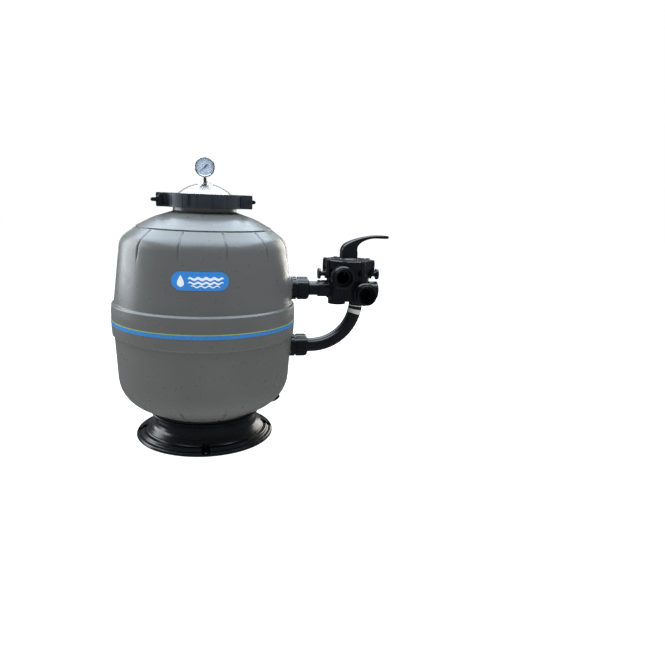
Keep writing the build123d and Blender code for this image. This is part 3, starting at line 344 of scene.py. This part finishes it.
# %% [markdown]
# ## Tank shell
# The real shell is blow-moulded: a dish, a cone, a long wall with a raised belt, a shoulder, a crown and a
# neck. Twelve soft creases run over the shoulder and under the low curve. A spun outline gives the body,
# and the creases are narrow valleys that the radius dips into, so the columns crowd together where a crease
# runs.

# %% Outline the shell
WALL_ROWS = [
    (0, 67), (175, 95, 35), (291.8, 156.4, 116), (304.4, 371.8, 3), (311, 376, 3), (315, 427, 340),
    (311, 478.6, 2.6), (303.2, 484.5, 3), (279, 696, 56), (229.5, 733.2, 1.2), (224.6, 735.0, 0.6),
    (226.6, 738.0, 1.6), (170, 768, 150), (106, 789, 6), (106, 812, 1), (118, 812, 1), (118, 824, 1),
    (98, 824, 1)]
INNER_ROWS = [
    (98, 824), (98, 786, 8), (165, 760, 80), (221, 728, 10), (270, 690, 48), (300, 430, 600), (284, 162, 108),
    (173.5, 103, 27), (0, 75)]
outer_outline = rounded(WALL_ROWS, 6.0, 9.0)
inner_outline = rounded(INNER_ROWS, 40.0, 30.0)[1:]
print("shell rows", len(outer_outline), "+", len(inner_outline))

# %% Crowd the columns at the creases
CREASES = 12
FIRST_CREASE = math.radians(13.5)
COLUMNS = 480
CROWDING = 0.84
CREASE_WIDTH = 2.8
UPPER_DEEP, LOWER_DEEP = 4.2, 9.0

t = np.linspace(0, 2 * np.pi, COLUMNS, endpoint=False)
shell_angles = t - CROWDING / CREASES * np.sin(CREASES * (t - FIRST_CREASE))


def smooth_step(low, high, value):
    """0 below low, 1 above high, and a smooth cubic between."""
    x = np.clip((value - low) / (high - low), 0, 1)
    return x * x * (3 - 2 * x)


def crease_depth(angles, heights, radii):
    """Depth in mm: a valley exp(-(arc / CREASE_WIDTH)^2) at each crease, faded along the height."""
    turn_off = (angles - FIRST_CREASE + np.pi / CREASES) % (2 * np.pi / CREASES) - np.pi / CREASES
    arc = turn_off[None, :] * radii[:, None]
    valley = np.exp(-(arc / CREASE_WIDTH) ** 2)
    upper = smooth_step(630, 676, heights) * (1 - smooth_step(729, 733, heights))
    lower = (1 - smooth_step(140, 180, heights)) * smooth_step(95, 103, heights)
    return valley * (UPPER_DEEP * upper + LOWER_DEEP * lower)[:, None]


# %% Build the shell
low_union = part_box("lower_bulkhead")
high_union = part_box("upper_bulkhead")
pad_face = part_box("bulkhead_gaskets")[0][0]
pad_heights = [(b[0][2] + b[1][2]) / 2 for b in (low_union, high_union)]

dents = crease_depth(shell_angles, outer_outline[:, 1], outer_outline[:, 0])
outer = spun(outer_outline, shell_angles)
outward = np.stack([np.sin(shell_angles), -np.cos(shell_angles), 0 * shell_angles], -1)
outer = outer - outward[None] * dents[..., None] * MM
PAD_INNER, PAD_OUTER = 0.041, 0.043
for height in pad_heights:
    distance = np.hypot(outer[..., 1], outer[..., 2] - height)
    flat = (1 - smooth_step(PAD_INNER, PAD_OUTER, distance)) * (outer[..., 0] > 0)
    outer[..., 0] = outer[..., 0] * (1 - flat) + pad_face * flat
inner = spun(inner_outline, shell_angles)
shell = piece("tank_shell_surface", grid_mesh("tank_shell_surface", np.concatenate([outer, inner])), "tank",
              finish["tank_plastic"], ["tank_shell"], 40)
print("shell faces", len(shell.data.polygons))

# %% [markdown]
# ## Belt lines
# A broad stripe and a thin line run round the belt. Each is a film that follows the belt's own outline, so
# it is a thin ring spun from the same radii, lifted by the film's thickness.

# %% Lay the belt lines
belt_rows = outer_outline[(outer_outline[:, 1] > 380) & (outer_outline[:, 1] < 474)]
ring_angles = np.linspace(0, 2 * np.pi, 256, endpoint=False)


def belt_film(node, slot, lift=0.7):
    """Closed ring from radius r(z) + lift over the heights of a CAD node, replacing that node."""
    low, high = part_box(node)
    z = np.linspace(low[2], high[2], 5) / MM
    r = np.interp(z, belt_rows[:, 1], belt_rows[:, 0])
    section = np.concatenate([np.stack([r + lift, z], -1), np.stack([r - 0.5, z], -1)[::-1]])
    mesh = grid_mesh(node + "_film", spun(section, ring_angles), close_rows=True)
    return piece(node + "_film", mesh, "tank", finish[slot], [node])


belt_film("band_stripe", "stripe_film")
belt_film("band_pinstripe", "line_film")

# %% [markdown]
# ## Label
# The real label is a printed film. Here it carries a plain motif of its own: a drop over three waves. Each
# mark is a thin ribbon that follows the wall, so it stays crisp and keeps its place in every view.

# %% Bend a flat mark on the wall
label_low, label_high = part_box("front_label")
label_x = (label_low[0] + label_high[0]) / 2 / MM
label_z = (label_low[2] + label_high[2]) / 2 / MM
LABEL_SKIN = 0.8
wall_heights = outer_outline[(outer_outline[:, 1] > 490) & (outer_outline[:, 1] < 690)]


def wall_radius(z):
    """Radius of the wall at a height, in mm, read from the shell's outline."""
    return np.interp(z, wall_heights[:, 1], wall_heights[:, 0])


def on_wall(x, z, lift):
    """Points (x, -sqrt(r(z)^2 - x^2), z) on the wall, lifted off it by a little."""
    r = wall_radius(z) + lift
    return np.stack([x, -np.sqrt(r * r - x * x), z], -1) * MM


def ribbon(name, x_edges, z_edges, lift=LABEL_SKIN + 0.25):
    """A closed thin ribbon between two edges, each an array along its length: front, back and rims."""
    (xa, xb), (za, zb) = x_edges, z_edges
    front = [on_wall(xa, za, lift), on_wall(xb, zb, lift)]
    back = [on_wall(xb, zb, lift - 0.3), on_wall(xa, za, lift - 0.3)]
    return grid_mesh(name, np.stack([*front, *back]), close_rows=True, close_columns=False)


# %% Print the label's motif
WAVE_RISE = 2.4
WAVE_RUN = 24


def wave(name, centre_z, left, right_end, thick):
    """Sine wave z = centre + WAVE_RISE sin(2 pi x / WAVE_RUN), full in its middle and pointed at its ends."""
    x = np.linspace(left, right_end, 90)
    s = (x - left) / (right_end - left)
    half = thick / 2 * np.sqrt(np.clip(4 * s * (1 - s), 0.004, 1)) ** 0.5
    z = centre_z + WAVE_RISE * np.sin(2 * np.pi * (x - left) / WAVE_RUN)
    return ribbon(name, (x, x), (z - half, z + half))


def drop(name, centre_x, base_z, size):
    """Drop whose half width at height s goes as sin(pi s^0.62) (1 - s / 4): round below and pointed above."""
    s = np.linspace(0.001, 0.999, 40)
    half = size * 0.42 * np.sin(np.pi * s ** 0.62) * (1 - 0.25 * s)
    z = base_z + size * 1.35 * s
    return ribbon(name, (centre_x - half, centre_x + half), (z, z))


def pill(width, height):
    """Pill of the film itself: its half height falls as a circle's at both ends."""
    a = np.linspace(-np.pi / 2, np.pi / 2, 61)
    run = width / 2 - height / 2
    x = np.sign(a) * (run + height / 2 * np.abs(np.sin(a)))
    x = np.concatenate([x[:30], np.linspace(-run, run, 40), x[31:]])
    half = np.sqrt(np.clip((height / 2) ** 2 - np.clip(np.abs(x) - run, 0, None) ** 2, 0.01, None))
    return ribbon("label_pill", (x + label_x, x + label_x), (label_z - half, label_z + half), LABEL_SKIN)


label_width, label_height = ((label_high[k] - label_low[k]) / MM for k in (0, 2))
piece("label_pill", pill(label_width, label_height), "tank", finish["label_film"],
      ["front_label"])
motif = [
    wave("label_wave_top", label_z + 7, label_x - 36, label_x + 70, 9.0),
    wave("label_wave_middle", label_z - 6, label_x - 36, label_x + 70, 6.5),
    wave("label_wave_low", label_z - 16, label_x - 28, label_x + 60, 4.0),
    drop("label_drop", label_x - 58, label_z - 18, 27),
]
for mesh in motif:
    piece(mesh.name, mesh, "tank", finish["print_white"])
print("motif pieces", len(motif))

# %% [markdown]
# ## Gauge
# A pressure gauge reads on a printed scale: an arc of ticks through 270 degrees. The ticks are short bars
# round the dial's centre, every fifth one longer, made in one go as an array of small quads.

# %% Mark the dial
dial_low, dial_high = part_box("gauge_dial")
dial_z = (dial_low[2] + dial_high[2]) / 2
dial_r = (dial_high[0] - dial_low[0]) / 2
INK = 0.00015
TICKS = 26
FIRST_TICK_DEG, SWEEP_DEG = 225, 270
dial_front = dial_low[1] - INK
ticks = np.radians(FIRST_TICK_DEG - np.linspace(0, SWEEP_DEG, TICKS))
long_tick = (np.arange(TICKS) % 5 == 0)
inner_r = np.where(long_tick, 0.74, 0.82) * dial_r
half = np.where(long_tick, 0.0006, 0.0003)
along = np.stack([np.cos(ticks), np.sin(ticks)], -1)
across = np.stack([-np.sin(ticks), np.cos(ticks)], -1)
near, far, side = along * inner_r[:, None], along * 0.9 * dial_r, across * half[:, None]
corners = [near - side, near + side, far + side, far - side]
flat = np.stack(corners, 1).reshape(-1, 2)
tick_points = np.stack([flat[:, 0], np.full(len(flat), dial_front), flat[:, 1] + dial_z], -1)
tick_mesh = bpy.data.meshes.new("dial_ticks")
tick_mesh.from_pydata(tick_points.tolist(), [], (np.arange(len(flat)).reshape(-1, 4)).tolist())
tick_item = bpy.data.objects.new("dial_ticks", tick_mesh)
bpy.context.scene.collection.objects.link(tick_item)
tick_mesh.materials.append(finish["needle"])
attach(tick_item, "tank")

# %% [markdown]
# The real bezel is a broad rolled ring of bright steel. Its section is a half round that runs forwards from
# the case and turns in to the lens, spun about the dial's own axis.

# %% Roll the bezel
bezel_low, bezel_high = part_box("gauge_bezel")
bezel_r = (bezel_high[0] - bezel_low[0]) / 2
bezel_x = (bezel_high[0] + bezel_low[0]) / 2
ROLL_R = 0.0028
ROLL_SET = 0.0024     # how far the roll's centre lies behind the CAD bezel's front
roll = np.linspace(0, np.pi, 15)
roll_r = bezel_r - ROLL_R + ROLL_R * np.cos(roll)
roll_y = bezel_low[1] + ROLL_SET - ROLL_R * np.sin(roll)
roll_r = np.concatenate([[bezel_r], roll_r, [bezel_r - 2 * ROLL_R]])
roll_y = np.concatenate([[bezel_high[1]], roll_y, [bezel_high[1]]])
around = np.linspace(0, 2 * np.pi, 96, endpoint=False)
bezel_points = np.stack([bezel_x + roll_r[:, None] * np.cos(around), roll_y[:, None] + 0 * around,
                         dial_z + roll_r[:, None] * np.sin(around)], -1)
piece("bezel_roll", grid_mesh("bezel_roll", bezel_points, close_rows=True), "tank", finish["steel"],
      ["gauge_bezel"])

# %% [markdown]
# ## Handle
# The real handle is one smooth moulding that rises from a stout hub, leans over and flattens into a grip.
# It is a loft: at each station along it an upper and a lower line give the height of a rounded box section,
# and a third line gives its width.

# %% Loft the handle
stem_x = (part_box("rotor")[0][0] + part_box("rotor")[1][0]) / 2 / MM
UPPER = np.array([(-32, 641), (-32, 656), (-31, 672), (-20, 690), (6, 704), (40, 715), (82, 723), (118, 725),
                  (147, 725)], float)
LOWER = np.array([(29.5, 641), (29.8, 657), (28, 676), (32, 688), (44, 699), (64, 708), (88, 713), (118, 713),
                  (147, 713)], float)
WIDE = np.array([25, 25, 24, 22.5, 19, 16, 14, 13.5, 13.5], float)


def smooth_line(values, at):
    """Smooth curve through the stations' values: cubic Hermite spans with averaged slopes."""
    n = len(values) - 1
    slopes = np.gradient(values, axis=0)
    k = np.clip((at * n).astype(int), 0, n - 1)
    s = (at * n - k)[:, None] if values.ndim > 1 else at * n - k
    a, b, da, db = values[k], values[k + 1], slopes[k], slopes[k + 1]
    return ((2 * s ** 3 - 3 * s ** 2 + 1) * a + (s ** 3 - 2 * s ** 2 + s) * da
            + (-2 * s ** 3 + 3 * s ** 2) * b + (s ** 3 - s ** 2) * db)


u = np.linspace(0, 1, 90)
top_line, low_line, width_line = (smooth_line(v, u) for v in (UPPER, LOWER, WIDE))
end_round = np.sqrt(np.clip((1 - u) / 0.03, 0.02, 1))
v = np.linspace(0, 2 * np.pi, 48, endpoint=False)
BOX_POWER = 0.42
section_a = np.sign(np.cos(v)) * np.abs(np.cos(v)) ** BOX_POWER
section_b = np.sign(np.sin(v)) * np.abs(np.sin(v)) ** BOX_POWER
middle = (top_line + low_line) / 2
reach = (top_line - low_line) / 2 * end_round[:, None]
handle_points = np.stack([
    middle[:, 0][:, None] + reach[:, 0][:, None] * section_a + stem_x,
    (width_line * end_round)[:, None] * section_b,
    middle[:, 1][:, None] + reach[:, 1][:, None] * section_a], -1) * MM
ends = [rows.mean(axis=1, keepdims=True) for rows in (handle_points[:1], handle_points[-1:])]
caps = [np.repeat(p, len(v), axis=1) for p in ends]
handle_grid = np.concatenate([caps[0], handle_points, caps[1]])
piece("handle_moulding", grid_mesh("handle_moulding", handle_grid), "handle",
      finish["black_plastic"], ["handle"], 45)

# %% [markdown]
# ## Floor
# A plain pale floor that the pedestal's shadow falls on.

# %% Lay the floor
floor_mesh = bpy.data.meshes.new("floor")
floor_mesh.from_pydata([(-12, -12, 0), (12, -12, 0), (12, 12, 0), (-12, 12, 0)], [], [(0, 1, 2, 3)])
floor = bpy.data.objects.new("floor", floor_mesh)
bpy.context.scene.collection.objects.link(floor)
floor_finish = moulded("floor_finish", (0.26, 0.26, 0.26), (0.29, 0.29, 0.29), (0.6, 0.7), 2, 300, 0.00001)
floor_shader = floor_finish.node_tree.nodes["Principled BSDF"]
set_socket(floor_shader, "Emission Color", (1.0, 1.0, 1.0, 1.0))
set_socket(floor_shader, "Emission Strength", 1.0)
floor_mesh.materials.append(floor_finish)
floor.visible_glossy = False
